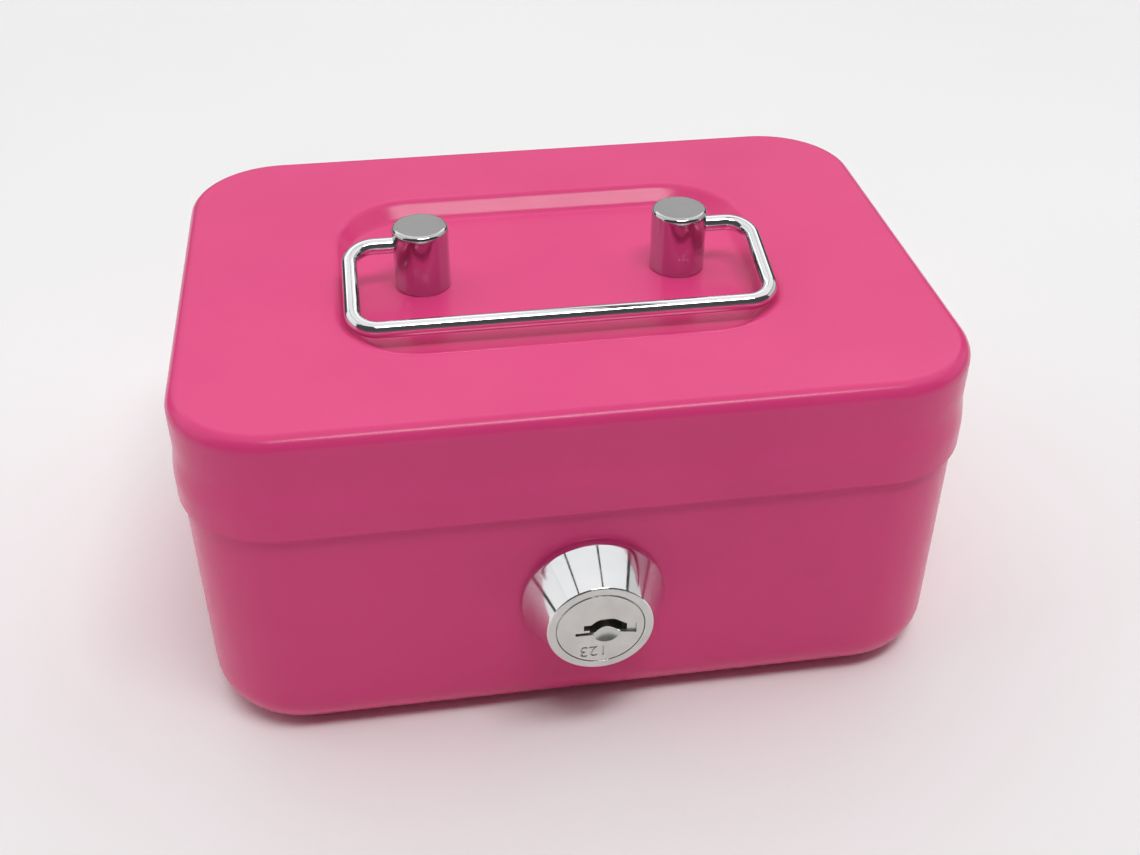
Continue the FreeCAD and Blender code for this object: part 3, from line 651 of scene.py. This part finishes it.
def plugLimit(s):
    # turned form that leaves a small chamfer on the head's front edge
    deep = sizeOf("lock_plug")[1].y - faceY + s["cutPast"]
    side = s["head"] + s["headClear"]
    profile = [(0, 0), (s["head"] - s["chamfer"], 0), (side, s["chamfer"]), (side, deep), (0, deep)]
    verts, faces = turned(profile, lambda x, y, h: (x, faceY + h, lockZ + y), s["around"])
    return loose("plugLimit", outwards(meshOf("plugLimit", verts, faces)))


def plugStamp(s):
    # plain stamped digits, upside down as in the photograph
    text = bpy.data.curves.new("plugDigits", "FONT")
    text.body = s["digits"]
    text.size = s["digitHeight"] * mm * s["digitScale"]
    text.extrude = s["digitReach"] * mm
    text.align_x = "CENTER"
    text.align_y = "CENTER"
    stamp = loose("plugDigits", text)
    digits = evaluated(stamp)
    bpy.data.objects.remove(stamp)
    x, z = s["digitPlace"]
    place = Matrix.Translation(Vector((x, faceY - s["digitReach"] + s["digitDepth"], lockZ + z)) * mm)
    digits.transform(place @ Matrix.Rotation(math.pi, 4, "Y") @ Matrix.Rotation(math.pi / 2, 4, "X"))
    return loose("plugStamp", outwards(digits))


def makePlug(s):
    front = lockSizes["proud"]
    plug = loose("plugWork", outwards(nodes["lock_plug"].data.copy()))
    solidCut(plug, plugLimit(s), "INTERSECT")
    # key way's rim is cut again with round arcs
    solidCut(plug, lockPrism("keywayRim", keywayLine(s), front + s["rimStart"], front - s["rimDepth"]))
    solidCut(plug, plugStamp(s))
    return freed(plug)


plug = dress("lockPlug", makePlug(plugSizes), "plug", "lock_face", ["lock_plug"], plugSizes["sharp"])
# second slot: darker zinc, painted shade for the floor of the stamped digits
plug.data.materials.append(finishes["zinc"])
for face in plug.data.polygons:  # level faces stay flat shaded, the stamped floor gets the darker zinc finish as painted shade in the digits' recess
    deep = face.center.y / mm - faceY
    if abs(face.normal.y) > plugSizes["level"]:
        face.use_smooth = False
        if abs(deep - plugSizes["digitDepth"]) < plugSizes["floorBand"]:
            face.material_index = 1
print("lock made")


# rivets on the rear hinge
rivetSizes = {"head": 1.9, "crown": 0.95, "shank": 1.1, "tail": 1.76, "tailTaper": 0.8, "upset": 0.45,
              "grip": 1.1, "pitch": 20.0, "count": 4, "around": 40, "domeStart": 12, "domeStep": 13}


def makeRivet(name, s):
    # one rivet about its own axis, domed head outside and upset tail inside
    profile = [(0, s["crown"])]
    for angle in range(s["domeStart"], 90 + 1, s["domeStep"]):
        a = math.radians(angle)
        profile.append((s["head"] * math.sin(a), s["crown"] * math.cos(a)))
    tailEnd = -s["grip"] - s["upset"]
    profile += [(s["head"], 0), (s["shank"], 0), (s["shank"], -s["grip"]), (s["tail"], -s["grip"]),
                (s["tail"] * s["tailTaper"], tailEnd), (0, tailEnd)]
    return outwards(meshOf(name, *turned(profile, lambda x, y, h: (x, h, y), s["around"])))


def makeRivets(node, s):
    low, high = sizeOf(node)
    first = ((low.x + s["head"]) * mm, (high.y - s["crown"]) * mm, (low.z + high.z) / 2 * mm)
    inputs = {"Count": "NodeSocketInt", "Start": "NodeSocketVector", "Step": "NodeSocketVector"}
    tree, enter, leave, ids = nodeTree(node + "Row", inputs)
    row = tree.nodes.new("GeometryNodeMeshLine")
    copies = tree.nodes.new("GeometryNodeInstanceOnPoints")
    tree.links.new(enter.outputs["Count"], row.inputs["Count"])
    tree.links.new(enter.outputs["Start"], row.inputs["Start Location"])
    tree.links.new(enter.outputs["Step"], row.inputs["Offset"])
    tree.links.new(row.outputs["Mesh"], copies.inputs["Points"])
    tree.links.new(enter.outputs["Geometry"], copies.inputs["Instance"])
    endTree(tree, copies.outputs["Instances"], leave, finishes["zinc"])
    values = {"Count": s["count"], "Start": first, "Step": (s["pitch"] * mm, 0.0, 0.0)}
    return grown(makeRivet(node + "One", s), tree, ids, values)


dress("bodyRivets", makeRivets("body_leaf_rivets", rivetSizes), "box", "zinc", ["body_leaf_rivets"])
dress("lidRivets", makeRivets("lid_leaf_rivets", rivetSizes), "lid", "zinc", ["lid_leaf_rivets"])
print("rivets made")


# finishes on the CAD nodes
for part in frame["record"]["subparts"]:
    node = nodes[part["node"]]
    node.data.materials.clear()
    node.data.materials.append(finishes[part["material_slot"]])
print("node finishes set")


# floor, in metres from here on
floorSizes = {"radius": 1.0, "points": 96, "drop": 0.0001}


def makeFloor(s):
    rim = arc((0, 0), s["radius"], 0, 360, s["points"])[:-1]
    mesh = bpy.data.meshes.new("floor")
    mesh.from_pydata([(p.x, p.y, -s["drop"]) for p in rim], [], [tuple(range(s["points"]))])
    mesh.materials.append(paleFloor())
    floor = loose("floor", mesh)


makeFloor(floorSizes)


# light: overhead panels whose narrow seams show in the lock's cone, softboxes round the box, dim room
panelSizes = {"height": 1.20, "middleY": 0.65, "depth": 2.00, "glow": 0.92, "lean": 1e-4,
              "edges": ((-1.90, -0.84), (-0.76, 0.19), (0.25, 1.55))}
softboxSizes = {
    "frontStrip": {"place": (0.12, -0.40, 1.15), "width": 0.66, "height": 0.22, "watts": 5.6},
    "leftPanel": {"place": (-1.95, 0.30, 0.66), "width": 1.8, "height": 1.05, "watts": 5.2},
    "rightPanel": {"place": (1.95, 0.30, 0.66), "width": 1.8, "height": 1.05, "watts": 3.6},
    "frontCard": {"place": (0.0, -2.20, 0.28), "width": 3.0, "height": 0.5, "watts": 0.2},
    "backPanel": {"place": (0.0, 2.20, 1.35), "width": 4.0, "height": 1.7, "watts": 11.7},
}
boxMiddle = (0.0, 0.0, 0.05)
roomSizes = {"fill": 0.07, "backdrop": 0.66}


def softbox(name, place, aim, width, height, watts):
    light = bpy.data.lights.new(name, "AREA")
    light.shape = "RECTANGLE"
    light.size = width
    light.size_y = height
    light.energy = watts
    obj = loose(name, light)
    obj.location = place
    obj.rotation_euler = (Vector(aim) - Vector(place)).to_track_quat("-Z", "Y").to_euler()


def overheadPanels(s):
    for index, (left, right) in enumerate(s["edges"]):
        across = right - left
        watts = math.pi * across * s["depth"] * s["glow"]
        middleX = (left + right) / 2
        aim = (middleX, s["middleY"] + s["lean"], 0)  # a hair off plumb, so that the turn is settled
        softbox("overhead_%d" % index, (middleX, s["middleY"], s["height"]), aim, across, s["depth"], watts)


def makeRoom(s):
    # dim fill light, with a pale backdrop behind the floor
    world = bpy.data.worlds.new("studio")
    world.use_nodes = True
    tree = world.node_tree
    sky = tree.nodes["Background"]
    sky.inputs["Color"].default_value = (1, 1, 1, 1)
    path = tree.nodes.new("ShaderNodeLightPath")
    level = tree.nodes.new("ShaderNodeMapRange")
    level.inputs["To Min"].default_value = s["fill"]
    level.inputs["To Max"].default_value = s["backdrop"]
    tree.links.new(path.outputs["Is Camera Ray"], level.inputs["Value"])
    tree.links.new(level.outputs["Result"], sky.inputs["Strength"])
    return world


overheadPanels(panelSizes)
for name, s in softboxSizes.items():
    softbox(name, s["place"], boxMiddle, s["width"], s["height"], s["watts"])
bpy.context.scene.world = makeRoom(roomSizes)
bpy.context.scene.view_settings.view_transform = "Standard"


# camera, fitted to the photograph
cameraSizes = {"azimuth": -8.81, "elevation": 36.13, "roll": 0.24, "distance": 0.26821,
               "target": (0.00486, 0.00978, 0.01722), "lens": 43.686, "sensor": 36.0, "nearest": 0.01}


def makeCamera(s):
    a = math.radians(s["azimuth"])
    e = math.radians(s["elevation"])
    r = math.radians(s["roll"])
    back = Vector((math.sin(a) * math.cos(e), -math.cos(a) * math.cos(e), math.sin(e)))
    level = (-back).cross(Vector((0, 0, 1))).normalized()
    plumb = level.cross(-back)
    right = level * math.cos(r) + plumb * math.sin(r)
    up = plumb * math.cos(r) - level * math.sin(r)
    data = bpy.data.cameras.new("camera")
    data.sensor_width = s["sensor"]
    data.sensor_fit = "HORIZONTAL"
    data.lens = s["lens"]
    data.clip_start = s["nearest"]
    camera = loose("camera", data)
    place = Vector(s["target"]) + back * s["distance"]
    turn = Matrix((right, up, back)).transposed()
    camera.matrix_world = Matrix.Translation(place) @ turn.to_4x4()
    bpy.context.scene.camera = camera


makeCamera(cameraSizes)
print("stage, light and camera set")
